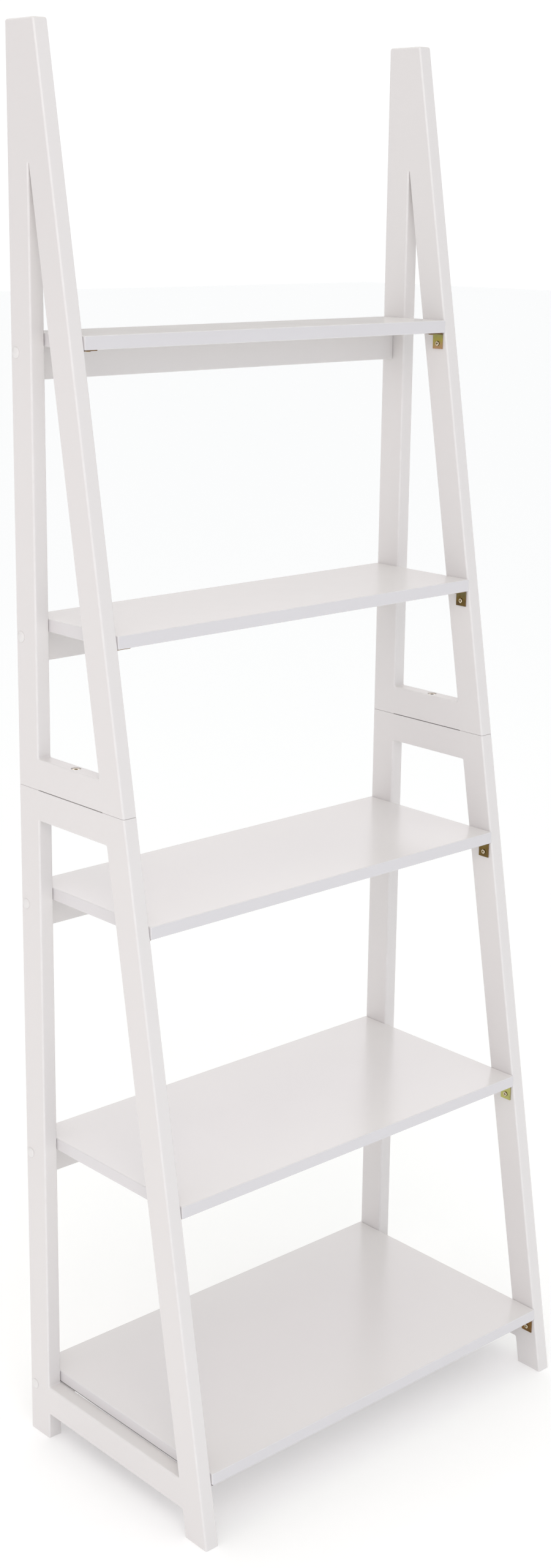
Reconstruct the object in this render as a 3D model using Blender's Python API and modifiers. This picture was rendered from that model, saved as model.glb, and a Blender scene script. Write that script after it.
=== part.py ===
"""Five-tier ladder shelf in painted wood, as separate pieces.

Two A-shaped side frames stand at left (-X) and right (+X). Each frame has an upper and a lower
half, which meet at a level seam. Shelves and rear cross rails span between the frames. The front
faces -Y. The origin is on the floor, under the middle of the whole piece. Lengths are in metres.
Shelves, rails and brackets count from the floor up.
"""

import math

import bmesh
import bpy
from mathutils import Matrix, Vector

OBJECT_NAME = "ladder_shelf"

# Overall size
WIDTH = 0.635
DEPTH = 0.358
HEIGHT = 1.780

# Side frames and cross rails, all of one thickness
STOCK_THICK = 0.020
POST_WIDE = 0.0395
RAIL_WIDE = 0.039
LEAN = 0.171  # how far the front post goes back for each metre up
SEAM_HEIGHT = 0.891
FOOT_RAIL_BOTTOM = 0.0362

# Shelves, with the height of each top face
SHELF_TOPS = (0.092, 0.425, 0.762, 1.100, 1.436)
SHELF_THICK = 0.016

# Roundings
LONG_EDGE_RADIUS = 0.0025
END_EDGE_RADIUS = 0.0008
SHELF_EDGE_RADIUS = 0.0010
ROUNDING_STEPS = 2

# Joints between pieces
GAP = 0.0003  # air left between two pieces that touch
SEAM_RECESS = 0.0004  # the rails stop this short of the seam, so the post ends carry the load
TENON_LENGTH = 0.012
TENON_THICK = 0.008
TENON_WIDE = 0.026
PIN_RADIUS = 0.004
PIN_REACH = 0.012  # how far a dowel pin goes into each piece
SEAM_PIN_REACH = 0.015
SHELF_PIN_REACH = 0.009  # up into the shelf
ROUND_STEPS = 16  # sides of a turned piece
HOLE_STEPS = 12  # sides of a hole, a pin or a small screw
OVERSHOOT = 0.002  # how far a cutter sticks out of the mouth of its hole
OVERLAP = 0.001  # how far two cutters of one stepped hole run into each other

# Furniture screws through the rear posts, and their caps
SCREW_DROP = 0.0075  # below the underside of the shelf
PIN_BELOW_SCREW = 0.020
SCREW_HEAD_RADIUS = 0.0048
SCREW_HEAD_THICK = 0.0025
SCREW_SHANK_RADIUS = 0.0030
SCREW_LENGTH = 0.048
SOCKET_RADIUS = 0.0021
COUNTERBORE_DEPTH = 0.0045
CAP_RADIUS = 0.0065
CAP_RISE = 0.0020
CAP_COLLAR_RADIUS = 0.0046
CAP_COLLAR_DEPTH = 0.0012

# Bolts across the seam, sunk in the tops of the upper rails
BOLT_HEAD_RADIUS = 0.0052
BOLT_HEAD_THICK = 0.0025
BOLT_HEAD_SINK = 0.0010  # from the top of the rail down to the top of the head
BOLT_POCKET_RADIUS = 0.0062
BOLT_SHANK_RADIUS = 0.0030
BOLT_LENGTH = 0.070
INSERT_RADIUS = 0.0048
INSERT_LENGTH = 0.014
INSERT_DEPTH = 0.040  # from the top of the rail down to the top of the insert
INSERT_HOLE_DEPTH = 0.033  # from the seam down

# Angle brackets under the front corners of the shelves
BRACKET_LEG = 0.021
BRACKET_WIDE = 0.017
BRACKET_THICK = 0.0012
BRACKET_BEND_RADIUS = 0.0030
BRACKET_SETBACK = 0.004  # behind the front face of the post
BRACKET_SCREW_FROM_CORNER = 0.014
BRACKET_SCREW_RADIUS = 0.0016
BRACKET_SCREW_REACH = 0.011
BRACKET_SCREW_HEAD_RADIUS = 0.0032
BRACKET_SCREW_HEAD_THICK = 0.0016

# Worked out from the sizes above
FRONT = -DEPTH / 2
REAR = DEPTH / 2
OUTER_FACE = WIDTH / 2
INNER_FACE = OUTER_FACE - STOCK_THICK
FRAME_MIDDLE = OUTER_FACE - STOCK_THICK / 2
REAR_POST_FRONT = REAR - POST_WIDE
POST_RUN = POST_WIDE * math.hypot(1.0, LEAN)  # the leaning post, measured level
APEX_HEIGHT = (DEPTH - POST_WIDE - GAP - POST_RUN) / LEAN
SEAM_TOP = SEAM_HEIGHT + GAP / 2
SEAM_UNDER = SEAM_HEIGHT - GAP / 2
UPPER_RAIL_TOP = SEAM_HEIGHT + RAIL_WIDE
LOWER_RAIL_BOTTOM = SEAM_HEIGHT - RAIL_WIDE
BOLT_Y = (FRONT + LEAN * SEAM_HEIGHT + POST_RUN + REAR_POST_FRONT) / 2
SIDES = {"left": -1, "right": 1}

scene_collection = bpy.context.scene.collection
parts = bpy.data.collections.new(OBJECT_NAME)
cutters = bpy.data.collections.new(f"{OBJECT_NAME}_cutters")
holes = {}  # the holes to cut in each board


def front_at(height):
    """Y of the front face of the leaning post at a height."""
    return FRONT + LEAN * height


def behind_post_at(height):
    """Y of the rear face of the leaning post at a height."""
    return front_at(height) + POST_RUN


def clear_scene():
    for found in list(bpy.data.objects):
        bpy.data.objects.remove(found, do_unlink=True)


def make_material(name, colour, roughness, metallic=0.0):
    material = bpy.data.materials.new(name)
    material.use_nodes = True
    shader = material.node_tree.nodes["Principled BSDF"]
    shader.inputs["Base Color"].default_value = (*colour, 1.0)
    shader.inputs["Roughness"].default_value = roughness
    shader.inputs["Metallic"].default_value = metallic
    return material


LACQUER = ((0.80, 0.78, 0.76), 0.32, 0.0)
SHELF_LACQUER = ((0.78, 0.77, 0.76), 0.28, 0.0)
ZINC = ((0.80, 0.62, 0.30), 0.30, 1.0)
STEEL = ((0.55, 0.55, 0.56), 0.35, 1.0)
PLASTIC = ((0.86, 0.85, 0.83), 0.40, 0.0)
BEECH = ((0.62, 0.44, 0.27), 0.60, 0.0)


def add_object(name, mesh, look):
    """Link a mesh as a named piece with a material of its own."""
    made = bpy.data.objects.new(name, mesh)
    mesh.materials.append(make_material(name, *look))
    parts.objects.link(made)
    return made


def add_cutter(name, mesh):
    """Link a mesh that only shapes other pieces."""
    made = bpy.data.objects.new(name, mesh)
    made.hide_render = True
    made.display_type = "WIRE"
    cutters.objects.link(made)
    return made


def combine(piece, tool, operation):
    """Cut a tool out of a piece, or join it to the piece. A tool's own bodies may overlap."""
    boolean = piece.modifiers.new(tool.name, "BOOLEAN")
    boolean.operation = operation
    boolean.object = tool
    boolean.use_self = True


def mesh_of(bm, name):
    mesh = bpy.data.meshes.new(name)
    bm.to_mesh(mesh)
    bm.free()
    return mesh


# ---------------------------------------------------------------- flat stock


def round_edges(bm, edges, radius):
    bmesh.ops.bevel(
        bm,
        geom=edges,
        offset=radius,
        offset_type="OFFSET",
        segments=ROUNDING_STEPS,
        profile=0.5,
        affect="EDGES",
        clamp_overlap=True,
    )


def sharp_edges(bm, wanted):
    """Edges that bend by more than 30 degrees and that the test wants."""
    return [
        edge
        for edge in bm.edges
        if edge.calc_face_angle(0.0) > math.radians(30) and wanted(edge)
    ]


def outline_mesh(name, outline, thick):
    """Mesh of a flat outline, extruded half its thickness each way along local Z."""
    curve = bpy.data.curves.new(name, "CURVE")
    curve.dimensions = "2D"
    curve.fill_mode = "BOTH"
    curve.extrude = thick / 2
    spline = curve.splines.new("POLY")
    spline.points.add(len(outline) - 1)
    for point, (along, up) in zip(spline.points, outline):
        point.co = (along, up, 0.0, 1.0)
    spline.use_cyclic_u = True
    holder = bpy.data.objects.new(name, curve)
    scene_collection.objects.link(holder)
    evaluated = holder.evaluated_get(bpy.context.evaluated_depsgraph_get())
    mesh = bpy.data.meshes.new_from_object(evaluated)
    bpy.data.objects.remove(holder, do_unlink=True)
    bm = bmesh.new()
    bm.from_mesh(mesh)
    bmesh.ops.remove_doubles(bm, verts=bm.verts, dist=1e-5)
    bmesh.ops.dissolve_limit(bm, angle_limit=math.radians(1), verts=bm.verts, edges=bm.edges)
    bm.to_mesh(mesh)
    bm.free()
    return mesh


def is_level(edge):
    """True for an edge of the outline, or across it, that lies level."""
    return abs(edge.verts[0].co.y - edge.verts[1].co.y) < 1e-6


def is_across(edge):
    """True for an edge that runs through the thickness."""
    return abs(edge.verts[0].co.z - edge.verts[1].co.z) > 1e-6


def side_member(name, outline, side, roundings):
    """A board of a side frame, from its outline in Y and Z.

    roundings is a list of (test, radius), used in turn: which edges to round, and by how much.
    """
    mesh = outline_mesh(name, outline, STOCK_THICK)
    bm = bmesh.new()
    bm.from_mesh(mesh)
    for wanted, radius in roundings:
        round_edges(bm, sharp_edges(bm, wanted), radius)
    bm.to_mesh(mesh)
    bm.free()
    made = add_object(name, mesh, LACQUER)
    made.location = (SIDES[side] * FRAME_MIDDLE, 0.0, 0.0)
    made.rotation_euler = (math.radians(90), 0.0, math.radians(90))
    return made


def post(name, outline, side):
    """A post: long edges well rounded, and the edges of its cut ends only eased."""
    long_edges = (lambda edge: not is_level(edge), LONG_EDGE_RADIUS)
    end_edges = (is_level, END_EDGE_RADIUS)
    return side_member(name, outline, side, [long_edges, end_edges])


def box_mesh(name, size, middle=(0.0, 0.0, 0.0)):
    bm = bmesh.new()
    bmesh.ops.create_cube(bm, size=1.0)
    bmesh.ops.scale(bm, vec=size, verts=bm.verts)
    bmesh.ops.translate(bm, vec=middle, verts=bm.verts)
    return mesh_of(bm, name)


def side_rail(name, bottom, top, side):
    """A rail between the two posts of a side frame, with a stub tenon at each end."""
    outline = [
        (behind_post_at(bottom) + GAP, bottom),
        (REAR_POST_FRONT - GAP, bottom),
        (REAR_POST_FRONT - GAP, top),
        (behind_post_at(top) + GAP, top),
    ]
    long_edges = (lambda edge: is_level(edge) and not is_across(edge), LONG_EDGE_RADIUS)
    rail = side_member(name, outline, side, [long_edges])

    middle_height = (bottom + top) / 2
    middle_x = SIDES[side] * FRAME_MIDDLE
    start = behind_post_at(middle_height) - TENON_LENGTH
    end = REAR_POST_FRONT + TENON_LENGTH
    size = (TENON_THICK, end - start, TENON_WIDE)
    middle = (middle_x, (start + end) / 2, middle_height)
    combine(rail, add_cutter(f"{name}_tenons", box_mesh(name, size, middle)), "UNION")

    mortise_size = [length + 2 * GAP for length in size]
    mortise = add_cutter(f"{name}_mortises", box_mesh(name, mortise_size, middle))
    half = "upper" if bottom > SEAM_HEIGHT - GAP else "lower"
    for place in ("rear", "front"):
        combine(bpy.data.objects[f"{half}_{place}_post_{side}"], mortise, "DIFFERENCE")
    return rail


def side_frame(side):
    """The seven boards of one side frame."""
    lower_ends = (0.0, SEAM_UNDER)
    upper_ends = (SEAM_TOP, HEIGHT)
    for half, (bottom, top) in {"lower": lower_ends, "upper": upper_ends}.items():
        rear_outline = [(REAR_POST_FRONT, bottom), (REAR, bottom), (REAR, top), (REAR_POST_FRONT, top)]
        post(f"{half}_rear_post_{side}", rear_outline, side)

    lower_outline = [
        (front_at(0.0), 0.0),
        (behind_post_at(0.0), 0.0),
        (behind_post_at(SEAM_UNDER), SEAM_UNDER),
        (front_at(SEAM_UNDER), SEAM_UNDER),
    ]
    post(f"lower_front_post_{side}", lower_outline, side)

    glue_face = REAR_POST_FRONT - GAP
    upper_outline = [
        (front_at(SEAM_TOP), SEAM_TOP),
        (behind_post_at(SEAM_TOP), SEAM_TOP),
        (glue_face, APEX_HEIGHT),
        (glue_face, HEIGHT),
        (front_at(HEIGHT), HEIGHT),
    ]
    post(f"upper_front_post_{side}", upper_outline, side)

    side_rail(f"upper_rail_{side}", SEAM_TOP + SEAM_RECESS, UPPER_RAIL_TOP, side)
    side_rail(f"lower_top_rail_{side}", LOWER_RAIL_BOTTOM, SEAM_UNDER - SEAM_RECESS, side)
    side_rail(f"foot_rail_{side}", FOOT_RAIL_BOTTOM, FOOT_RAIL_BOTTOM + RAIL_WIDE, side)


def eased_box(name, size, location, look, radius):
    """A box placed by its middle, with every edge rounded."""
    made = add_object(name, box_mesh(name, size), look)
    made.location = location
    bevel = made.modifiers.new("eased_edges", "BEVEL")
    bevel.width = radius
    bevel.segments = ROUNDING_STEPS
    bevel.limit_method = "ANGLE"
    return made


def shelf(number, top):
    """A shelf between the side frames, level with the front face of the posts at its underside."""
    span = 2 * (INNER_FACE - GAP)
    front = front_at(top - SHELF_THICK)
    size = (span, REAR - front, SHELF_THICK)
    middle = (0.0, (REAR + front) / 2, top - SHELF_THICK / 2)
    return eased_box(f"shelf_{number}", size, middle, SHELF_LACQUER, SHELF_EDGE_RADIUS)


def rear_rail(number, top):
    """The cross rail under the rear edge of a shelf, between the rear posts."""
    span = 2 * (INNER_FACE - GAP)
    size = (span, STOCK_THICK, RAIL_WIDE)
    middle = (0.0, REAR - STOCK_THICK / 2, top - SHELF_THICK - GAP - RAIL_WIDE / 2)
    return eased_box(f"rear_rail_{number}", size, middle, LACQUER, SHELF_EDGE_RADIUS)


# ---------------------------------------------------------------- round stock


def aim(direction):
    """Rotation that turns local Z to a direction."""
    return Vector(direction).to_track_quat("Z", "Y").to_matrix().to_4x4()


def turned_mesh(name, profile):
    """Mesh of a profile of (radius, height) points turned about local Z, from its top down."""
    bm = bmesh.new()
    points = [bm.verts.new((radius, 0.0, height)) for radius, height in profile]
    for upper, lower in zip(points, points[1:]):
        bm.edges.new((upper, lower))
    return mesh_of(bm, name)


def turn(piece):
    screw = piece.modifiers.new("turned", "SCREW")
    screw.steps = ROUND_STEPS
    screw.render_steps = ROUND_STEPS
    screw.use_merge_vertices = True
    screw.merge_threshold = 1e-5


def cylinder(bm, start, direction, radius, length, steps=HOLE_STEPS):
    """Add a closed cylinder to a mesh, from its start along a direction."""
    place = Matrix.Translation(start) @ aim(direction) @ Matrix.Translation((0.0, 0.0, length / 2))
    bmesh.ops.create_cone(
        bm,
        cap_ends=True,
        segments=steps,
        radius1=radius,
        radius2=radius,
        depth=length,
        matrix=place,
    )


def drill(board, start, direction, radius, length):
    """Note a hole that runs into a board along a direction, for a pin of a radius and length."""
    outside = start - OVERSHOOT * Vector(direction)
    holes.setdefault(board, []).append((outside, direction, radius + GAP, OVERSHOOT + length + GAP))


def cut_holes():
    """Cut every noted hole, with one cutter for each board."""
    for board, found in holes.items():
        bm = bmesh.new()
        for start, direction, radius, length in found:
            cylinder(bm, start, direction, radius, length)
        combine(bpy.data.objects[board], add_cutter(f"{board}_holes", mesh_of(bm, board)), "DIFFERENCE")


def join_pins(board, pins):
    """Join dowel pins to a board, each given as (start, direction, length)."""
    bm = bmesh.new()
    for start, direction, length in pins:
        cylinder(bm, start, direction, PIN_RADIUS, length)
    combine(bpy.data.objects[board], add_cutter(f"{board}_pins", mesh_of(bm, board)), "UNION")


def hex_socket(name, place, depth):
    """Cutter for a six-sided key socket, at the top of a turned piece."""
    bm = bmesh.new()
    cylinder(bm, (0.0, 0.0, -depth), (0, 0, 1), SOCKET_RADIUS, depth + OVERSHOOT, steps=6)
    socket = add_cutter(f"{name}_socket", mesh_of(bm, name))
    socket.matrix_world = place
    return socket


def turned_piece(name, profile, look, start, direction, socket_depth=0.0):
    """A turned piece whose local Z, up its profile, points along a direction."""
    made = add_object(name, turned_mesh(name, profile), look)
    turn(made)
    place = Matrix.Translation(start) @ aim(direction)
    made.matrix_world = place
    if socket_depth:
        top = Matrix.Translation((0.0, 0.0, profile[0][1]))
        combine(made, hex_socket(name, place @ top, socket_depth), "DIFFERENCE")
    return made


# ---------------------------------------------------------------- fasteners


def rail_fixing(number, top, side):
    """The furniture screw, its cap and the dowel pin that hold one end of a cross rail."""
    sign = SIDES[side]
    inward = (-sign, 0, 0)
    outward = (sign, 0, 0)
    height = top - SHELF_THICK - SCREW_DROP
    mouth = Vector((sign * OUTER_FACE, REAR - STOCK_THICK / 2, height))
    half = "upper" if height > SEAM_HEIGHT else "lower"
    rear_post = f"{half}_rear_post_{side}"
    rail = f"rear_rail_{number}"

    head_under = -COUNTERBORE_DEPTH + GAP
    head_top = head_under + SCREW_HEAD_THICK
    tip = -SCREW_LENGTH
    profile = [
        (0.0, head_top),
        (SCREW_HEAD_RADIUS, head_top),
        (SCREW_HEAD_RADIUS, head_under),
        (SCREW_SHANK_RADIUS, head_under),
        (SCREW_SHANK_RADIUS, tip + SCREW_SHANK_RADIUS),
        (0.0, tip),
    ]
    turned_piece(f"rail_screw_{number}_{side}", profile, STEEL, mouth, outward, socket_depth=0.0015)
    drill(rear_post, mouth, inward, SCREW_HEAD_RADIUS, COUNTERBORE_DEPTH - GAP)
    inner_mouth = mouth + Vector(inward) * STOCK_THICK
    drill(rear_post, inner_mouth, outward, SCREW_SHANK_RADIUS, STOCK_THICK - COUNTERBORE_DEPTH + OVERLAP)
    rail_end = Vector((sign * INNER_FACE, mouth.y, height))
    drill(rail, rail_end, inward, SCREW_SHANK_RADIUS, SCREW_LENGTH - STOCK_THICK)

    dome = [
        (CAP_RADIUS * math.sin(angle), GAP + CAP_RISE * math.cos(angle))
        for angle in (math.radians(30 * step) for step in range(4))
    ]
    collar = [(CAP_COLLAR_RADIUS, GAP), (CAP_COLLAR_RADIUS, -CAP_COLLAR_DEPTH), (0.0, -CAP_COLLAR_DEPTH)]
    turned_piece(f"screw_cap_{number}_{side}", dome + collar, PLASTIC, mouth, outward)

    pin_start = rail_end + Vector((-sign * PIN_REACH, 0.0, -PIN_BELOW_SCREW))
    drill(rear_post, pin_start, outward, PIN_RADIUS, 2 * PIN_REACH)
    return pin_start, outward, 2 * PIN_REACH


def shelf_fixings(number, top):
    """Everything that holds one cross rail to the posts and to its shelf."""
    pins = [rail_fixing(number, top, side) for side in SIDES]
    underside = top - SHELF_THICK
    for sign in SIDES.values():
        start = Vector((sign * INNER_FACE / 2, REAR - STOCK_THICK / 2, underside - PIN_REACH))
        pins.append((start, (0, 0, 1), PIN_REACH + SHELF_PIN_REACH))
        mouth = Vector((start.x, start.y, underside))
        drill(f"shelf_{number}", mouth, (0, 0, 1), PIN_RADIUS, SHELF_PIN_REACH)
    join_pins(f"rear_rail_{number}", pins)


def seam_bolt(side):
    """The bolt, with its threaded insert, that pulls the two halves of a side frame together."""
    middle_x = SIDES[side] * FRAME_MIDDLE
    seat = Vector((middle_x, BOLT_Y, UPPER_RAIL_TOP))
    head_top = -BOLT_HEAD_SINK
    head_under = head_top - BOLT_HEAD_THICK
    insert_top = -INSERT_DEPTH
    insert_end = insert_top - INSERT_LENGTH
    profile = [
        (0.0, head_top),
        (0.8 * BOLT_HEAD_RADIUS, head_top),
        (BOLT_HEAD_RADIUS, head_top - 0.4 * BOLT_HEAD_THICK),
        (BOLT_HEAD_RADIUS, head_under),
        (BOLT_SHANK_RADIUS, head_under),
        (BOLT_SHANK_RADIUS, insert_top),
        (INSERT_RADIUS, insert_top),
        (INSERT_RADIUS, insert_end),
        (BOLT_SHANK_RADIUS, insert_end),
        (BOLT_SHANK_RADIUS, -BOLT_LENGTH),
        (0.0, -BOLT_LENGTH),
    ]
    turned_piece(f"seam_bolt_{side}", profile, ZINC, seat, (0, 0, 1), socket_depth=0.0014)
    drill(f"upper_rail_{side}", seat, (0, 0, -1), BOLT_POCKET_RADIUS - GAP, -head_under)
    seam = Vector((middle_x, BOLT_Y, SEAM_HEIGHT))
    drill(f"upper_rail_{side}", seam, (0, 0, 1), BOLT_SHANK_RADIUS, RAIL_WIDE + head_under + OVERLAP)
    drill(f"lower_top_rail_{side}", seam, (0, 0, -1), INSERT_RADIUS, INSERT_HOLE_DEPTH)


def seam_pins(side):
    """The dowel pins that line the posts up across the seam."""
    middle_x = SIDES[side] * FRAME_MIDDLE
    rear_y = REAR - POST_WIDE / 2
    front_y = front_at(SEAM_HEIGHT) + POST_RUN / 2
    for place, y in {"rear": rear_y, "front": front_y}.items():
        middle = Vector((middle_x, y, SEAM_HEIGHT))
        bm = bmesh.new()
        cylinder(bm, (0, 0, -SEAM_PIN_REACH), (0, 0, 1), PIN_RADIUS, 2 * SEAM_PIN_REACH)
        pin = add_object(f"seam_pin_{place}_{side}", mesh_of(bm, "seam_pin"), BEECH)
        pin.location = middle
        drill(f"lower_{place}_post_{side}", middle, (0, 0, -1), PIN_RADIUS, SEAM_PIN_REACH)
        drill(f"upper_{place}_post_{side}", middle, (0, 0, 1), PIN_RADIUS, SEAM_PIN_REACH)


def bracket_outline():
    """Outline of an angle bracket: corner at the origin, one leg along +X and one down -Y."""
    bend = BRACKET_BEND_RADIUS
    outer = [
        (bend - bend * math.cos(angle), -bend + bend * math.sin(angle))
        for angle in (math.radians(30 * step) for step in range(4))
    ]
    inner_corner = (BRACKET_THICK, -BRACKET_THICK)
    leg_under = (BRACKET_LEG, -BRACKET_THICK)
    leg_end = (BRACKET_THICK, -BRACKET_LEG)
    return [(0.0, -BRACKET_LEG), *outer, (BRACKET_LEG, 0.0), leg_under, inner_corner, leg_end]


def bracket(number, top, side):
    """An angle bracket with its two small screws, under one front corner of a shelf."""
    sign = SIDES[side]
    name = f"bracket_{number}_{side}"
    underside = top - SHELF_THICK
    middle_y = front_at(underside) + BRACKET_SETBACK + BRACKET_WIDE / 2
    corner = Vector((sign * (INNER_FACE - GAP), middle_y, underside - GAP))

    # Local X points away from the frame, local Y up, and local Z along the shelf's end.
    made = add_object(name, outline_mesh(name, bracket_outline(), BRACKET_WIDE), ZINC)
    away = Vector((-sign, 0, 0))
    up = Vector((0, 0, 1))
    axes = Matrix((away, up, away.cross(up))).transposed()
    made.matrix_world = Matrix.Translation(corner) @ axes.to_4x4()

    half = "upper" if top > SEAM_HEIGHT else "lower"
    post_side = (corner + Vector((0, 0, -BRACKET_SCREW_FROM_CORNER)), -away, f"{half}_front_post_{side}")
    shelf_side = (corner + away * BRACKET_SCREW_FROM_CORNER, up, f"shelf_{number}")
    bite = BRACKET_THICK / 2  # how far heads and shanks run into the plate, which joins them to it
    bm = bmesh.new()
    for seat, direction, board in (post_side, shelf_side):
        head_top = seat - direction * (BRACKET_THICK + BRACKET_SCREW_HEAD_THICK)
        head_length = BRACKET_SCREW_HEAD_THICK + bite
        cylinder(bm, head_top, direction, BRACKET_SCREW_HEAD_RADIUS, head_length)
        cylinder(bm, seat - direction * bite, direction, BRACKET_SCREW_RADIUS, bite + BRACKET_SCREW_REACH)
        drill(board, seat, direction, BRACKET_SCREW_RADIUS, BRACKET_SCREW_REACH + GAP)
    combine(made, add_cutter(f"{name}_screws", mesh_of(bm, name)), "UNION")


clear_scene()
scene_collection.children.link(parts)
scene_collection.children.link(cutters)

for side in SIDES:
    side_frame(side)
    seam_bolt(side)
    seam_pins(side)
for number, top in enumerate(SHELF_TOPS, start=1):
    shelf(number, top)
    rear_rail(number, top)
    shelf_fixings(number, top)
    for side in SIDES:
        bracket(number, top, side)
cut_holes()
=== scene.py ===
# %% [markdown]
# # A ladder shelf in white lacquer
# The real shelf is two A-shaped side frames in lacquered wood, each made as an upper and a lower
# half, with five shelves and five cross rails screwed between them. This lesson builds its looks
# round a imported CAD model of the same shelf. The CAD model says where each piece is and how big it
# is. Only small shapes, such as roundings, screw heads and bracket legs, and the finishes are set
# here.

# %% Load the frame
import math

import bpy
import numpy as np
from mathutils import Euler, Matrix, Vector
from mathutils.geometry import tessellate_polygon


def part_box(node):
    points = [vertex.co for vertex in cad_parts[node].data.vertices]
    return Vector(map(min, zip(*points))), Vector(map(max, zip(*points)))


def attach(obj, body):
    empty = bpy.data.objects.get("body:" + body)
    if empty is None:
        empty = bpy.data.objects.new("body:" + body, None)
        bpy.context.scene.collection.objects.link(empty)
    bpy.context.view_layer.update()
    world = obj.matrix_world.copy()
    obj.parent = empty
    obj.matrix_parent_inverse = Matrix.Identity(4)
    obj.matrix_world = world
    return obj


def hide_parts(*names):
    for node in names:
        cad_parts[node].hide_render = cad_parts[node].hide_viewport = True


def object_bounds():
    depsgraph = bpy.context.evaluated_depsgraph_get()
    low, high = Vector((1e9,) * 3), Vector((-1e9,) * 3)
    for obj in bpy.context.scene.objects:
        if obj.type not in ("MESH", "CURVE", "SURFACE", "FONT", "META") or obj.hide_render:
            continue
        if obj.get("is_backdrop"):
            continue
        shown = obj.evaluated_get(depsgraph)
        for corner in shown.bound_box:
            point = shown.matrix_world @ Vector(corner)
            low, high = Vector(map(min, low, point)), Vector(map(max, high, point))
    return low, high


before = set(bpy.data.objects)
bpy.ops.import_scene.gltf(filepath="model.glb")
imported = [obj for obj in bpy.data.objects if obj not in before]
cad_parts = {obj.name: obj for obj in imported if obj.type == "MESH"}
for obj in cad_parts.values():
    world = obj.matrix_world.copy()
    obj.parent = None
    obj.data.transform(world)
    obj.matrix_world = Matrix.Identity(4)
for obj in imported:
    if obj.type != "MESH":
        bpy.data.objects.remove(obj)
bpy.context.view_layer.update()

# %% [markdown]
# ## Sizes read from the CAD nodes
# A shape that is worked out from a few sizes is easy to change later. Here the sizes come from
# the corners of the CAD pieces. The right side is measured, and the left side is its mirror
# image. The front of the shelf leans back, and two shelves show by how much: each one starts
# level with the leaning front posts.


# %% Sizes
def corners(node):
    """Lowest and highest corner of a CAD node, as two arrays."""
    low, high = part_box(node)
    return np.array(low), np.array(high)


SIDES = {"left": -1.0, "right": 1.0}
COUNT = sum(name.startswith("shelf_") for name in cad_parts)
NUMBERS = range(1, COUNT + 1)
SHELVES = {n: corners(f"shelf_{n}") for n in NUMBERS}

post_low, post_high = corners("upper_rear_post_right")
foot_high = corners("lower_rear_post_right")[1]
upper_rail_low, upper_rail_high = corners("upper_rail_right")
lower_rail_low, lower_rail_high = corners("lower_top_rail_right")
foot_rail_low = corners("foot_rail_right")[0]

OUTER_X, INNER_X = post_high[0], post_low[0]
THICK = OUTER_X - INNER_X
REAR_Y, REAR_POST_Y = post_high[1], post_low[1]
TOP_Z, SEAM_TOP_Z, SEAM_UNDER_Z = post_high[2], post_low[2], foot_high[2]
GAP = INNER_X - SHELVES[1][1][0]

first_low, first_high = SHELVES[1]
last_low, last_high = SHELVES[COUNT]
LEAN = (last_low[1] - first_low[1]) / (last_high[2] - first_high[2])
POST_WIDE = REAR_Y - REAR_POST_Y
POST_RUN = POST_WIDE * math.hypot(1.0, LEAN)


def front_at(height):
    """Y of the front of a leaning post: it moves back by LEAN for each metre up.

    The front of a shelf is level with it at the underside of the shelf.
    """
    return first_low[1] + LEAN * (height - first_low[2])


def behind_at(height):
    """Y of the back of a leaning post: its front, plus its width measured level."""
    return front_at(height) + POST_RUN


APEX_Z = first_low[2] + (REAR_POST_Y - POST_RUN - first_low[1]) / LEAN
print(f"lean {LEAN:.4f}, post {POST_WIDE * 1000:.1f} x {THICK * 1000:.1f} mm, apex at {APEX_Z:.3f} m")

# %% [markdown]
# ## From arrays to pieces
# Every new piece goes through one function. Points that share a place are merged, so seams and
# poles close. The normal at each point is the sum of the normals of the faces round it, and each
# face counts by its area. A large flat face then stays flat to its very edge, and only the narrow
# rounding beside it bends the light, which is how a sanded and lacquered edge looks.


# %% Making a piece
MERGE = 1e-6  # metres within which two points are one
NO_AREA = 1e-14  # square metres under which a triangle is left out


def joined(*parts):
    """Several (points, faces) as one, with the numbers in the later faces moved on."""
    points, faces, start = [], [], 0
    for part_points, part_faces in parts:
        points.append(part_points)
        faces.extend((np.asarray(part_faces) + start).tolist())
        start += len(part_points)
    return np.concatenate(points), faces


def merged(points, faces):
    """The same faces with points in one place counted once, and faces that shrank away left out."""
    keys = np.round(points / MERGE).astype(np.int64)
    _, first, back = np.unique(keys, axis=0, return_index=True, return_inverse=True)
    back = back.reshape(-1)
    kept = []
    for face in faces:
        ring = [a for a, b in zip(back[face], back[np.roll(face, 1)]) if a != b]
        if len(ring) > 2:
            kept.append(ring)
    return first, kept


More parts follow.
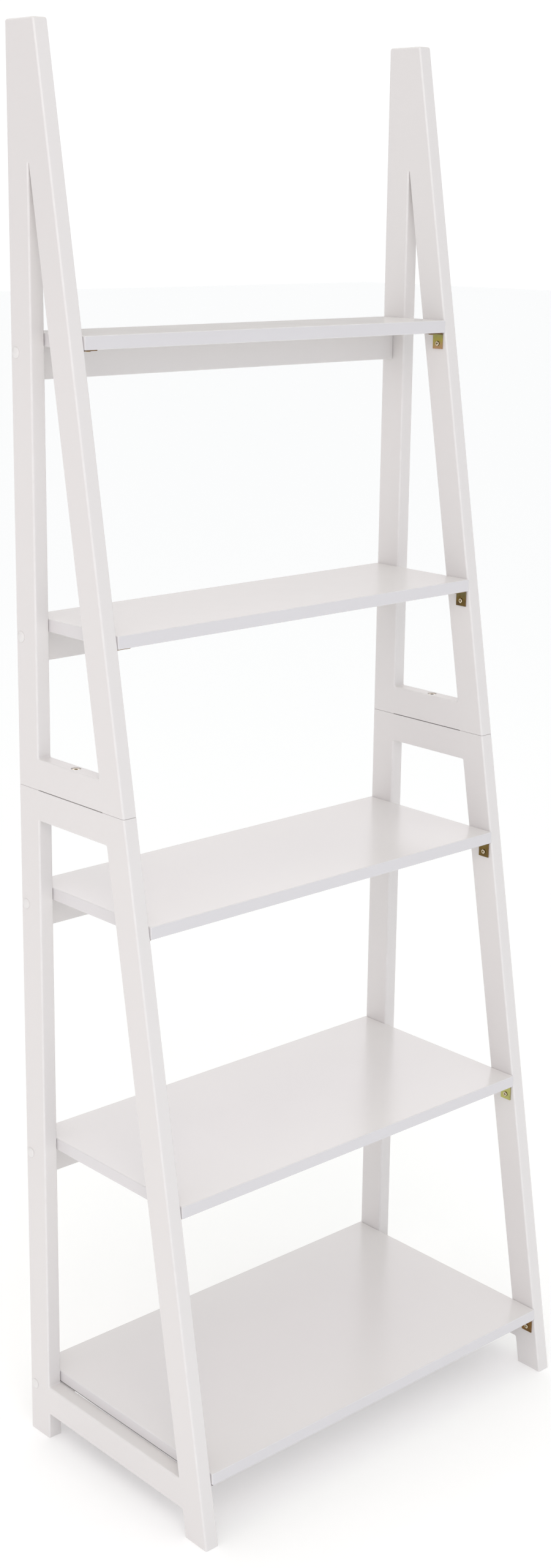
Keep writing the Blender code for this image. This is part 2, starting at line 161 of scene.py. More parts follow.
def make_piece(name, points, faces, material, nodes, values=None):
    """A mesh object from arrays: merged, smooth, riding on the frame in place of CAD nodes.

    values is a dictionary of one number per point, kept as attributes for the materials.
    """
    first, kept = merged(points, faces)
    mesh = bpy.data.meshes.new(name)
    mesh.from_pydata(points[first].tolist(), [], kept)
    for label, numbers in (values or {}).items():
        attribute = mesh.attributes.new(label, "FLOAT", "POINT")
        attribute.data.foreach_set("value", np.asarray(numbers, np.float32)[first])
    mesh.update()
    mesh.shade_smooth()

    count = len(mesh.polygons)
    normal, area, sides = np.zeros(count * 3), np.zeros(count), np.zeros(count, np.int32)
    mesh.polygons.foreach_get("normal", normal)
    mesh.polygons.foreach_get("area", area)
    mesh.polygons.foreach_get("loop_total", sides)
    owner = np.zeros(len(mesh.loops), np.int32)
    mesh.loops.foreach_get("vertex_index", owner)
    pull = np.repeat(normal.reshape(-1, 3) * area[:, None], sides, axis=0)
    total = np.zeros((len(mesh.vertices), 3))
    np.add.at(total, owner, pull)
    total /= np.maximum(np.linalg.norm(total, axis=1, keepdims=True), 1e-20)
    mesh.normals_split_custom_set_from_vertices(total.tolist())

    mesh.materials.append(material)
    piece = bpy.data.objects.new(name, mesh)
    bpy.context.scene.collection.objects.link(piece)
    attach(piece, "root")
    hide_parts(*nodes)
    return piece


def grid_faces(rows, columns, closed=False):
    """Faces of a grid of points, row after row, whose columns may close on themselves."""
    last_column = columns if closed else columns - 1
    i, j = np.meshgrid(np.arange(rows - 1), np.arange(last_column), indexing="ij")
    k = (j + 1) % columns
    ring = [i * columns + j, (i + 1) * columns + j, (i + 1) * columns + k, i * columns + k]
    return np.stack(ring, -1).reshape(-1, 4)


def end_faces(rows, columns):
    """The two faces that close the ends of such a grid: its first row, and its last row turned."""
    last = range((rows - 1) * columns, rows * columns)
    return [list(range(columns)), list(last)[::-1]]


def flat_fill(rings, facing):
    """Triangles that fill the first ring of points, leaving the other rings open."""
    points = np.concatenate(rings)
    loops = [[Vector(p) for p in ring] for ring in rings]
    faces = np.array(tessellate_polygon(loops))
    a, b, c = (points[faces[:, k]] for k in range(3))
    cross = np.cross(b - a, c - a)
    real = np.linalg.norm(cross, axis=1) > NO_AREA
    faces, cross = faces[real], cross[real]
    turned_away = cross @ np.asarray(facing, float) < 0
    faces[turned_away] = faces[turned_away][:, ::-1]
    return points, faces


print("helpers for meshes are ready")

# %% [markdown]
# ## Shader groups for lacquer and metal
# Lacquer is never one flat colour. Its tint drifts a little from one hand's width to the next, its
# surface has the fine dimples called orange peel, and grain shows through it faintly. It is also
# pulled thin over a sharp edge, and there a lighter colour is laid on, which is partly worn thin
# lacquer and partly a painted highlight. Two node groups hold these effects, one for the film and
# one for the edges. Each is made once, so that the frames, the shelves and the caps can use it with
# their own values.


# %% Group builder
def new_group(name, inputs, outputs):
    """A node group with named sockets. inputs and outputs map a name to a type and a value."""
    group = bpy.data.node_groups.new(name, "ShaderNodeTree")
    for direction, sockets in (("INPUT", inputs), ("OUTPUT", outputs)):
        for label, (kind, value) in sockets.items():
            socket = group.interface.new_socket(label, in_out=direction, socket_type=f"NodeSocket{kind}")
            if value is not None:
                socket.default_value = value
    return group, group.nodes.new("NodeGroupInput"), group.nodes.new("NodeGroupOutput")


def add(tree, kind, links=None, values=None, **settings):
    """Add a node, set its properties and values, and link its inputs from other sockets."""
    node = tree.nodes.new(f"ShaderNode{kind}")
    for key, value in settings.items():
        setattr(node, key, value)
    for key, value in (values or {}).items():
        node.inputs[key].default_value = value
    for key, socket in (links or {}).items():
        tree.links.new(socket, node.inputs[key])
    return node


def maths(tree, operation, first, second):
    """A Math node on two sockets or numbers. Gives its output socket."""
    node = add(tree, "Math", operation=operation)
    for slot_number, source in enumerate((first, second)):
        if isinstance(source, (int, float)):
            node.inputs[slot_number].default_value = source
        else:
            tree.links.new(source, node.inputs[slot_number])
    return node.outputs[0]


def spread(tree, value, low, high, from_low=0.0, from_high=1.0):
    """A Map Range node from one pair of limits to another. Gives its output socket."""
    limits = {"From Min": from_low, "From Max": from_high, "To Min": low, "To Max": high}
    return add(tree, "MapRange", {"Value": value}, limits).outputs["Result"]


def blend_colours(tree, amount, first, second):
    """A colour mix, where amount is a socket and the colours are sockets or plain colours."""
    node = add(tree, "Mix", {"Factor": amount}, data_type="RGBA")
    for index, source in ((6, first), (7, second)):  # the two colour sockets of this node
        if isinstance(source, tuple):
            node.inputs[index].default_value = (*source, 1.0)
        else:
            tree.links.new(source, node.inputs[index])
    return node.outputs[2]


def noise(tree, place, scale, detail=2.0, roughness=0.5, distortion=0.0):
    """A Noise Texture node at a place, which is a socket. Gives its output socket."""
    values = {"Scale": scale, "Detail": detail, "Roughness": roughness, "Distortion": distortion}
    return add(tree, "TexNoise", {"Vector": place}, values).outputs["Fac"]


def object_place(tree):
    """The place on the object that is shaded, in metres, from a Texture Coordinate node."""
    return add(tree, "TexCoord").outputs["Object"]


def named_value(tree, label):
    """A number that the mesh carries under a name. Gives its output socket."""
    return add(tree, "Attribute", attribute_name=label).outputs["Fac"]


def new_material(name, metallic=0.0):
    """A material with its node tree and its Principled shader."""
    material = bpy.data.materials.new(name)
    material.use_nodes = True
    shader = material.node_tree.nodes["Principled BSDF"]
    shader.inputs["Metallic"].default_value = metallic
    return material, material.node_tree, shader


print("group builder is ready")

# %% Lacquer film group
film, film_in, film_out = new_group(
    "lacquer_film",
    {
        "Drift": ("Float", 0.02),
        "Peel Height": ("Float", 0.00002),
        "Grain Height": ("Float", 0.00001),
        "Grain Squeeze": ("Vector", (1.0, 1.0, 1.0)),
        "Roughness": ("Float", 0.3),
        "Roughness Spread": ("Float", 0.05),
    },
    {"Shade": ("Float", None), "Roughness": ("Float", None), "Height": ("Float", None)},
)
place = object_place(film)
cloud = noise(film, place, 5.0, 3.0, 0.55)
centred = maths(film, "SUBTRACT", cloud, 0.5)
shade = maths(film, "ADD", maths(film, "MULTIPLY", centred, film_in.outputs["Drift"]), 1.0)

peel = noise(film, place, 420.0, 2.0, 0.5)
wave = noise(film, place, 38.0, 1.0, 0.4)
squeezed = add(film, "Mapping", {"Vector": place, "Scale": film_in.outputs["Grain Squeeze"]})
grain = noise(film, squeezed.outputs[0], 260.0, 4.0, 0.62)
peel_part = maths(film, "MULTIPLY", peel, film_in.outputs["Peel Height"])
wave_part = maths(film, "MULTIPLY", maths(film, "MULTIPLY", wave, film_in.outputs["Peel Height"]), 2.0)
grain_part = maths(film, "MULTIPLY", grain, film_in.outputs["Grain Height"])
height = maths(film, "ADD", maths(film, "ADD", peel_part, wave_part), grain_part)

smear = maths(film, "SUBTRACT", noise(film, place, 14.0, 5.0, 0.6), 0.5)
smear_part = maths(film, "MULTIPLY", smear, film_in.outputs["Roughness Spread"])
film.links.new(shade, film_out.inputs["Shade"])
film.links.new(maths(film, "ADD", film_in.outputs["Roughness"], smear_part), film_out.inputs["Roughness"])
film.links.new(height, film_out.inputs["Height"])
print("group", film.name, "outputs", [s.name for s in film_out.inputs if s.name])

# %% [markdown]
# Handling rubs an edge more than a flat. The meshes below carry a number on each point called
# rounding: nothing on the flats and one in the middle of a rounded edge. This group breaks that
# number up with noise, so the rubbed patches come in short uneven runs. On the lacquers the lighter
# colour this mask brings in is partly rubbed lacquer and partly a painted highlight along the
# rounded edges.

# %% Edge rubbing and painted highlight group
wear_and_sheen, wear_and_sheen_in, wear_and_sheen_out = new_group(
    "edge_wear_and_sheen", {"Amount": ("Float", 1.0), "Patch Scale": ("Float", 60.0)}, {"Mask": ("Float", None)}
)
rounding = named_value(wear_and_sheen, "rounding")
patch_size = {"Vector": object_place(wear_and_sheen), "Scale": wear_and_sheen_in.outputs["Patch Scale"]}
patch = add(wear_and_sheen, "TexNoise", patch_size, {"Detail": 3.0})
run = spread(wear_and_sheen, patch.outputs["Fac"], 0.35, 1.0, 0.35, 0.65)
mask = maths(wear_and_sheen, "MULTIPLY", maths(wear_and_sheen, "MULTIPLY", rounding, run), wear_and_sheen_in.outputs["Amount"])
wear_and_sheen.links.new(mask, wear_and_sheen_out.inputs["Mask"])
print("group", wear_and_sheen.name, "is ready")


# %% [markdown]
# ## Lacquer materials
# The frames and the cross rails are lacquered wood, sprayed in one go after they were glued. The
# shelves are boards with the same lacquer, a little smoother, and their narrow faces are painted
# darker and cooler, as shade. One base colour is shaded by the film group, and goes over to a
# lighter edge colour where the lacquer is pulled thin, which also paints a highlight along the
# rounded edges. Along the ends of the lowest shelf, where they sit over the foot rails, a near-black
# line paints the shade of the gap there. Its material finds that line from Object coordinates.


# %% Lacquer
WHITE_WOOD = (0.775, 0.750, 0.738)
# lighter colour on the rounded edges: partly worn thin lacquer, partly a painted highlight
WHITE_WOOD_EDGE_SHEEN = (0.82, 0.80, 0.79)
# near-black colour of the painted shade in the gap over the foot rails
GAP_SHADE_COLOUR = (0.06, 0.045, 0.042)
GAP_SHADE_FADE = 0.0002


def lacquer(
    name, colour, edge_wear_sheen_colour, squeeze, painted_side_shade=None, gap_shade=None,
    roughness=0.32, peel=0.000007, grain=0.000005, drift=0.03,
):
    """White lacquer. squeeze stretches the grain: the smallest number lies along the board.

    The side colour, if given, is a darker, cooler colour painted on the narrow faces of a board
    as shade. The gap shade, if given, is how far out and how low down a near-black line of painted
    shade runs along the ends of a board, for the gap over the frames.
    """
    material, tree, shader = new_material(name)
    coating = add(tree, "Group", node_tree=film)
    film_values = {
        "Drift": drift, "Peel Height": peel, "Grain Height": grain, "Grain Squeeze": squeeze,
        "Roughness": roughness,
    }
    for label, value in film_values.items():
        coating.inputs[label].default_value = value
    edges = add(tree, "Group", node_tree=wear_and_sheen)
    # narrow faces get a darker, cooler colour: painted shade
    if painted_side_shade is not None:
        colour = blend_colours(tree, named_value(tree, "narrow_face_shade"), colour, painted_side_shade)
    # the lighter edge colour, partly a painted highlight along the rounded edges
    tint = blend_colours(tree, edges.outputs["Mask"], colour, edge_wear_sheen_colour)
    # a near-black line of painted shade along the lower edge of a board's ends
    if gap_shade is not None:
        reach, top = gap_shade
        place = add(tree, "SeparateXYZ", {"Vector": object_place(tree)})
        at_end = maths(tree, "GREATER_THAN", maths(tree, "ABSOLUTE", place.outputs["X"], 0.0), reach)
        low_down = spread(tree, place.outputs["Z"], 1.0, 0.0, top - GAP_SHADE_FADE, top + GAP_SHADE_FADE)
        tint = blend_colours(tree, maths(tree, "MULTIPLY", at_end, low_down), tint, GAP_SHADE_COLOUR)
    shaded = add(tree, "VectorMath", {0: tint, 1: coating.outputs["Shade"]}, operation="MULTIPLY")
    tree.links.new(shaded.outputs[0], shader.inputs["Base Color"])
    tree.links.new(coating.outputs["Roughness"], shader.inputs["Roughness"])
    bump = add(tree, "Bump", {"Height": coating.outputs["Height"]}, {"Distance": 1.0, "Strength": 1.0})
    tree.links.new(bump.outputs[0], shader.inputs["Normal"])
    return material


frame_lacquer = lacquer("frame_lacquer", WHITE_WOOD, WHITE_WOOD_EDGE_SHEEN, (1.0, 1.0, 0.06))
rail_lacquer = lacquer("rail_lacquer", WHITE_WOOD, WHITE_WOOD_EDGE_SHEEN, (0.06, 1.0, 1.0))
# the side colour below is painted shade on the shelves' narrow faces
SHELF_PAINT = dict(
    colour=(0.775, 0.750, 0.742), edge_wear_sheen_colour=(0.82, 0.81, 0.81), squeeze=(0.05, 1.0, 1.0),
    painted_side_shade=(0.700, 0.685, 0.700), roughness=0.235,
)
GAP_SHADE_IN, GAP_SHADE_UP = 0.0014, 0.0016  # from the end and from the underside of the lowest shelf
gap_shade_line = (first_high[0] - GAP_SHADE_IN, first_low[2] + GAP_SHADE_UP)
shelf_lacquer = lacquer("shelf_lacquer", **SHELF_PAINT)
# the lowest shelf's lacquer adds the painted gap shade
low_shelf_gap_shade_lacquer = lacquer("low_shelf_gap_shade_lacquer", gap_shade=gap_shade_line, **SHELF_PAINT)
print("lacquers", [material.name for material in bpy.data.materials])

# %% [markdown]
# ## Half frames
# Each half frame is posts and rails glued up, sanded flush, rounded with a router and lacquered
# as one, so no joint shows inside it. Its skin is made the same way: a flat outline with one
# opening, and a rounding carried along both. At each depth below the face the outline is drawn
# again, moved in by what a quarter circle leaves there. Every edge has its own radius: long edges
# are well rounded, and the cut ends at the seam are only eased.


# %% Outlines at depths
ARC_STEPS = 6
ROUND_STEPS = 6
LEAST_ARC = 2e-5


def inset_at(depths, radius):
    """How far a quarter round of a radius lies inside the edge, at depths below the face.

    In words: the radius, less the height of the circle above its middle at that depth.
    """
    short = np.clip(np.asarray(radius) - depths, 0.0, None)
    return radius - np.sqrt(np.clip(np.square(radius) - np.square(short), 0.0, None))


def depth_steps(thick, radii):
    """Depths from one face to the other, close together where any of the roundings bends."""
    angles = np.linspace(0.0, np.pi / 2, ROUND_STEPS + 1)
    near = np.unique(np.concatenate([radius * (1 - np.cos(angles)) for radius in radii]).round(7))
    return np.concatenate([near, thick - near[::-1]])


def outline_rings(points, radii, fillets, depths, thick, inner_radii=None):
    """The outline at each depth, as an array (depths, points, 2), with its material on the left.

    Edge k runs from point k to the next, and moves in by inset_at. Where two moved edges meet, an
    arc touches both: on the outside of a corner its radius shrinks with the inset, and on the
    inside it grows. inner_radii, if given, are the roundings next to the inner face.
    """
    points = np.asarray(points, float)
    radii, fillets = np.asarray(radii, float), np.asarray(fillets, float)
    inner_radii = radii if inner_radii is None else np.asarray(inner_radii, float)
    along = np.roll(points, -1, 0) - points
    along /= np.linalg.norm(along, axis=1, keepdims=True)
    inward = np.stack([-along[:, 1], along[:, 0]], -1)
    before = np.roll(inward, 1, 0)
    turn = before[:, 0] * inward[:, 1] - before[:, 1] * inward[:, 0]
    outside = np.sign(turn)

    shallow = np.minimum(depths, thick - depths)[:, None]
    inset = inset_at(shallow, np.where(depths[:, None] < thick / 2, radii, inner_radii))
    inset_before = np.roll(inset, 1, 1)
    arc = np.maximum(fillets - outside * np.minimum(inset, inset_before), LEAST_ARC)
    reach_before, reach = inset_before + outside * arc, inset + outside * arc
    middle = np.stack(
        [
            (reach_before * inward[:, 1] - reach * before[:, 1]) / turn,
            (reach * before[:, 0] - reach_before * inward[:, 0]) / turn,
        ],
        -1,
    ) + points
    sweep = np.arctan2(turn, (before * inward).sum(1))
    angle = sweep[:, None] * np.linspace(0.0, 1.0, ARC_STEPS)
    sideways = np.stack([-before[:, 1], before[:, 0]], -1)
    spoke = np.cos(angle)[..., None] * before[:, None] + np.sin(angle)[..., None] * sideways[:, None]
    rings = middle[:, :, None] - (outside * arc)[..., None, None] * spoke[None]
    return rings.reshape(len(depths), -1, 2)


print("an outline of n corners gets", ARC_STEPS, "points at each corner")

# %% [markdown]
# ## Turned shapes
# Screw heads, caps, bolts and the holes they sit in are all turned: a profile of radii and
# heights, swept once round an axis. A hole is the same thing with its profile listed from the
# middle of its floor outwards, which turns its faces towards the inside.


# %% Turned shapes
TURN_STEPS = 40


def turned(profile, start, axis, edge=None):
    """A profile of (radius, height) turned about an axis from a start point.

    Point (i, j) is start + height i along the axis + radius i in the direction at angle j. edge
    may change the radii with the angle: it takes the radii and the angles, and gives new radii.
    """
    axis = np.asarray(axis, float)
    helper = np.array([0.0, 1.0, 0.0]) if abs(axis[1]) < 0.9 else np.array([1.0, 0.0, 0.0])
    first = np.cross(helper, axis)
    first /= np.linalg.norm(first)
    second = np.cross(axis, first)
    profile = np.asarray(profile, float)
    angle = np.linspace(0.0, 2 * np.pi, TURN_STEPS, endpoint=False)
    radius = np.repeat(profile[:, :1], TURN_STEPS, axis=1)
    if edge is not None:
        radius = edge(radius, angle)
    around = np.cos(angle)[:, None] * first + np.sin(angle)[:, None] * second
    points = np.asarray(start) + profile[:, 1][:, None, None] * axis + radius[..., None] * around
    return points.reshape(-1, 3), grid_faces(len(profile), TURN_STEPS, closed=True)


def bore(start, axis, radius, depth, easing=0.0003):
    """A blind round hole into a flat face: floor, wall and an eased mouth. axis points out of it."""
    angles = np.linspace(0.0, np.pi / 2, 4)
    mouth = [(radius + easing * (1 - math.cos(a)), -easing * (1 - math.sin(a))) for a in angles]
    profile = [(0.0, -depth), (0.9 * radius, -depth), (radius, -depth + 0.1 * radius), *mouth]
    return turned(profile, start, axis)


def mouth_of(hole):
    """The ring of points round the mouth of a hole."""
    return hole[0][-TURN_STEPS:]


print("turned shapes have", TURN_STEPS, "sides")

# %% Half frame skin
LONG_RADIUS = 0.0025  # long edges, rounded with a router
FOOT_RADIUS = 0.0008  # the ends that stand on the floor
SEAM_RADIUS = 0.0004  # the cut ends at the seam
TOP_FILLET = 0.0030
CORNER_FILLET = 0.0020
OPENING_FILLET = 0.0018
FOOT_FILLET = 0.0010
CUT_FILLET = 0.0006
APEX_FILLET = 0.0004
STEP_FILLET = 0.00008


def skin_of_half(outline, opening, cap_holes, bolt_hole=None):
    """Points, faces and rounding values of a half frame on the right side.

    outline and opening are (points, radii, fillets) with the material on their left. The rounded
    rim is one grid for each of them, depth by depth, and two flat fills close the faces.
    """
    depths = depth_steps(THICK, (LONG_RADIUS, FOOT_RADIUS, SEAM_RADIUS))
    across = OUTER_X - depths
    middle_row = int(np.argmax(np.diff(depths)))
    shallow = np.minimum(depths, THICK - depths)
    angle = np.arccos(np.clip(1 - shallow / LONG_RADIUS, 0.0, 1.0))
    rounding = np.clip(np.sin(2 * angle), 0.0, 1.0)

    parts, values, face_rings = [], [], []
    for which, (points, radii, fillets, *inner) in enumerate((outline, opening)):  # 1 is the opening
        rings = outline_rings(points, radii, fillets, depths, THICK, *inner)
        count = rings.shape[1]
        x = np.broadcast_to(across[:, None, None], (*rings.shape[:2], 1))
        solid = np.concatenate([x, rings], -1)
        face_rings.append(solid)
        faces = grid_faces(len(depths), count, closed=True)
        if which == 1 and bolt_hole is not None:
            edge_number, hole = bolt_hole
            left = edge_number * ARC_STEPS + ARC_STEPS - 1
            right = (left + 1) % count
            faces = np.delete(faces, middle_row * count + left, axis=0)
            rows = [middle_row, middle_row + 1, middle_row + 1, middle_row]
            patch = solid[rows, [left, left, right, right]]
            parts += [flat_fill([patch, mouth_of(hole)], (0, 0, 1)), hole]
            values += [np.zeros(len(patch) + TURN_STEPS), np.zeros(len(hole[0]))]
        parts.append((solid.reshape(-1, 3), faces))
        values.append(np.repeat(rounding, count))
    outer = [face_rings[0][0], face_rings[1][0]] + [mouth_of(hole) for hole in cap_holes]
    inner = [face_rings[0][-1], face_rings[1][-1]]
    parts += [flat_fill(outer, (1, 0, 0)), flat_fill(inner, (-1, 0, 0)), *cap_holes]
    values += [np.zeros(len(part[0])) for part in parts[len(values):]]
    points, faces = joined(*parts)
    return points, faces, np.concatenate(values)


def place_halves(name, skin, boards):
    """A half frame on each side. The left one is the mirror image: X changes sign, and each face
    is turned round to keep it outwards.
    """
    for side, sign in SIDES.items():
        points, faces, rounding = skin
        if sign < 0:
            points, faces = points * (-1.0, 1.0, 1.0), [face[::-1] for face in faces]
        nodes = [f"{board}_{side}" for board in boards]
        piece = make_piece(
            f"{name}_{side}", points, faces, frame_lacquer, nodes, {"rounding": rounding}
        )
        print(piece.name, len(piece.data.polygons), "faces")


print("skins go", len(depth_steps(THICK, (LONG_RADIUS, FOOT_RADIUS, SEAM_RADIUS))), "rows deep")

# %% [markdown]
# The rails stop just short of the seam, so that the two halves bear on their posts. That small
# step is what draws the dark line between the posts of the real shelf, while the post ends
# themselves meet in a hairline.

# %% Upper halves
STEP_Z = upper_rail_low[2]
upper_outline = (
    [
        (front_at(SEAM_TOP_Z), SEAM_TOP_Z),
        (behind_at(SEAM_TOP_Z), SEAM_TOP_Z),
        (behind_at(SEAM_TOP_Z), STEP_Z),
        (REAR_POST_Y, STEP_Z),
        (REAR_POST_Y, SEAM_TOP_Z),
        (REAR_Y, SEAM_TOP_Z),
        (REAR_Y, TOP_Z),
        (front_at(TOP_Z), TOP_Z),
    ],
    [SEAM_RADIUS, 0.0, SEAM_RADIUS, 0.0, SEAM_RADIUS, LONG_RADIUS, LONG_RADIUS, LONG_RADIUS],
    [CUT_FILLET, STEP_FILLET, STEP_FILLET, STEP_FILLET, STEP_FILLET, CUT_FILLET, TOP_FILLET, TOP_FILLET],
)
upper_opening = (
    [
        (behind_at(upper_rail_high[2]), upper_rail_high[2]),
        (REAR_POST_Y, APEX_Z),
        (REAR_POST_Y, upper_rail_high[2]),
    ],
    [LONG_RADIUS] * 3,
    [OPENING_FILLET, APEX_FILLET, OPENING_FILLET],
)
RAIL_TOP_EDGE = 2  # the edge of the opening that lies on top of the rail
CAP_HOLE_DEPTH = 0.0045


def holes_for(low, high):
    """The counterbores for furniture screws in the rear post of a half frame."""
    found = []
    for number in NUMBERS:
        screw_low, screw_high = corners(f"rail_screw_{number}_right")
        if low < screw_low[2] < high:
            middle = (screw_low + screw_high) / 2
            radius = (screw_high[1] - screw_low[1]) / 2 + GAP
            found.append(bore((OUTER_X, middle[1], middle[2]), (1, 0, 0), radius, CAP_HOLE_DEPTH))
    return found


bolt_low, bolt_high = corners("seam_bolt_right")
BOLT_X, BOLT_Y = ((bolt_low + bolt_high) / 2)[:2]
POCKET_RADIUS, POCKET_DEPTH = 0.0062, 0.0035
pocket = bore((BOLT_X, BOLT_Y, upper_rail_high[2]), (0, 0, 1), POCKET_RADIUS, POCKET_DEPTH)
upper_skin = skin_of_half(
    upper_outline, upper_opening, holes_for(SEAM_TOP_Z, TOP_Z), (RAIL_TOP_EDGE, pocket)
)
place_halves("upper_half_frame", upper_skin, ("upper_rear_post", "upper_front_post", "upper_rail"))

# %% Lower halves
STEP_Z = lower_rail_high[2]
foot_rail_z = foot_rail_low[2]
foot_rail_top_z = first_low[2] - GAP  # the lacquer fills up to the shelf
SILL_RADIUS = 0.0003  # the inner top edge of the foot rail is nearly sharp
lower_outline = (
    [
        (front_at(0.0), 0.0),
        (behind_at(0.0), 0.0),
        (behind_at(foot_rail_z), foot_rail_z),
        (REAR_POST_Y, foot_rail_z),
        (REAR_POST_Y, 0.0),
        (REAR_Y, 0.0),
        (REAR_Y, SEAM_UNDER_Z),
        (REAR_POST_Y, SEAM_UNDER_Z),
        (REAR_POST_Y, STEP_Z),
        (behind_at(SEAM_UNDER_Z), STEP_Z),
        (behind_at(SEAM_UNDER_Z), SEAM_UNDER_Z),
        (front_at(SEAM_UNDER_Z), SEAM_UNDER_Z),
    ],
    [FOOT_RADIUS, LONG_RADIUS, LONG_RADIUS, LONG_RADIUS, FOOT_RADIUS, LONG_RADIUS]
    + [SEAM_RADIUS, 0.0, SEAM_RADIUS, 0.0, SEAM_RADIUS, LONG_RADIUS],
    [FOOT_FILLET, FOOT_FILLET, CORNER_FILLET, CORNER_FILLET, FOOT_FILLET, FOOT_FILLET]
    + [CUT_FILLET, STEP_FILLET, STEP_FILLET, STEP_FILLET, STEP_FILLET, CUT_FILLET],
)
lower_opening = (
    [
        (behind_at(foot_rail_top_z), foot_rail_top_z),
        (behind_at(lower_rail_low[2]), lower_rail_low[2]),
        (REAR_POST_Y, lower_rail_low[2]),
        (REAR_POST_Y, foot_rail_top_z),
    ],
    [LONG_RADIUS] * 4,
    [OPENING_FILLET] * 4,
    [LONG_RADIUS, LONG_RADIUS, LONG_RADIUS, SILL_RADIUS],
)
lower_skin = skin_of_half(lower_outline, lower_opening, holes_for(0.0, SEAM_UNDER_Z))
lower_boards = ("lower_rear_post", "lower_front_post", "lower_top_rail", "foot_rail")
place_halves("lower_half_frame", lower_skin, lower_boards)

# %% [markdown]
# ## Shelves and cross rails
# A board with eased edges is the skin of a small ball rolled round inside a box. So take the
# directions of a sphere, cut the sphere into eight parts, and move each part into one corner of
# the board. The strips that open between the parts are the straight edges and flat faces.


# %% Boards
BOARD_STEPS = 5


def rounded_board(low, high, radius):
    """Points, faces and values of a box with every edge rounded by a radius.

    The values are rounding, as on the frames, and how much painted shade a narrow face takes:
    nothing on the top and the bottom, one on the faces along the front and the back, and a half
    on the ends.

    Point = the corner of the inner box on that side + radius times the direction (u, v), where u
    goes round and v from the top pole to the bottom one, each in quarters of a turn.
    """
    quarter = np.linspace(0.0, 1.0, BOARD_STEPS)
    u = np.concatenate([(quarter + k) * np.pi / 2 for k in range(4)])
    v = np.concatenate([quarter, quarter + 1.0]) * np.pi / 2
    side_u = np.repeat([(1, 1), (-1, 1), (-1, -1), (1, -1)], BOARD_STEPS, axis=0)
    side_v = np.repeat([1.0, -1.0], BOARD_STEPS)
    half = (high - low) / 2 - radius
    sin_v, cos_v = np.sin(v)[:, None], np.cos(v)[:, None]
    direction = np.stack([sin_v * np.cos(u), sin_v * np.sin(u), cos_v * np.ones_like(u)], -1)
    shape = (len(v), len(u))
    side = np.empty((*shape, 3))
    side[..., :2], side[..., 2] = side_u, side_v[:, None]
    points = (low + high) / 2 + side * half + radius * direction
    faces = grid_faces(*shape, closed=True).tolist()
    faces += end_faces(*shape)
    flatness = np.abs(direction).max(-1)
    rounding = np.clip((1 - flatness) / (1 - math.sqrt(0.5)), 0.0, 1.0)
    # how much of the painted shade each point of a narrow face takes
    narrow_face_shade = np.maximum(np.abs(direction[..., 1]), 0.5 * np.abs(direction[..., 0]))
    values = {"rounding": rounding.reshape(-1), "narrow_face_shade": narrow_face_shade.reshape(-1)}
    return points.reshape(-1, 3), faces, values


BOARD_RADIUS = 0.0012
for number in NUMBERS:
    points, faces, values = rounded_board(*SHELVES[number], BOARD_RADIUS)
    paint = low_shelf_gap_shade_lacquer if number == 1 else shelf_lacquer
    board = make_piece(
        f"shelf_board_{number}", points, faces, paint, [f"shelf_{number}"], values
    )
    rail_low, rail_high = corners(f"rear_rail_{number}")
    rail_high[2] = SHELVES[number][0][2] - GAP  # without the dowels in its top and its ends
    rail_low[0], rail_high[0] = -SHELVES[number][1][0], SHELVES[number][1][0]
    points, faces, values = rounded_board(rail_low, rail_high, BOARD_RADIUS)
    nodes = [f"rear_rail_{number}"]
    make_piece(f"cross_rail_{number}", points, faces, rail_lacquer, nodes, values)
    print(board.name, "top at", round(float(SHELVES[number][1][2]), 4))

# %% [markdown]
# ## Yellow zinc
# Brackets and bolts are steel with a yellow passivated zinc skin. That skin is a clear film of
# uneven thickness, so its colour drifts from copper through straw and olive to a dark brown. It
# is a metal, so the drift goes into the base colour, and fine scratches from the tumbling barrel
# go into the roughness and the bump. Each mesh gives each point a tone for how thick the film is,
# and its darkest tones also paint shade into recesses, under screw heads and into a bend under a
# shelf.

# %% Zinc
zinc, tree, shader = new_material("yellow_zinc", metallic=1.0)
place = object_place(tree)
drift = spread(tree, noise(tree, place, 110.0, 3.0, 0.55, 0.4), -0.08, 0.08, 0.25, 0.75)
# the tone on each point is film colour and, at its dark end, painted shade
ramp = add(tree, "ValToRGB", {"Fac": maths(tree, "ADD", named_value(tree, "film_and_shade_tone"), drift)})
FILM_COLOURS = (
    (0.00, (0.80, 0.72, 0.58)),  # bare and silvery
    (0.15, (0.557, 0.325, 0.186)),  # copper
    (0.34, (0.493, 0.438, 0.107)),  # straw
    (0.48, (0.42, 0.42, 0.156)),  # yellow green
    (0.66, (0.169, 0.150, 0.070)),  # dark olive
    (0.80, (0.162, 0.105, 0.028)),  # umber
    (0.90, (0.105, 0.070, 0.034)),  # darkest
    (1.00, (0.290, 0.160, 0.052)),  # red brown
)
stops = ramp.color_ramp.elements
stops[0].position, stops[1].position = FILM_COLOURS[0][0], FILM_COLOURS[-1][0]
for position, _ in FILM_COLOURS[1:-1]:
    stops.new(position)
for stop, (_, colour) in zip(stops, FILM_COLOURS):
    stop.color = (*colour, 1.0)
edges = add(tree, "Group", node_tree=wear_and_sheen)
edges.inputs["Patch Scale"].default_value = 400.0
edges.inputs["Amount"].default_value = 0.5
EDGE_COPPER = (0.42, 0.24, 0.14)
tint = blend_colours(tree, edges.outputs["Mask"], ramp.outputs["Color"], EDGE_COPPER)
tree.links.new(tint, shader.inputs["Base Color"])
scratch = noise(tree, place, 2600.0, 3.0, 0.7)
tree.links.new(spread(tree, scratch, 0.20, 0.36), shader.inputs["Roughness"])
bump = add(tree, "Bump", {"Height": scratch}, {"Distance": 0.00001, "Strength": 0.6})
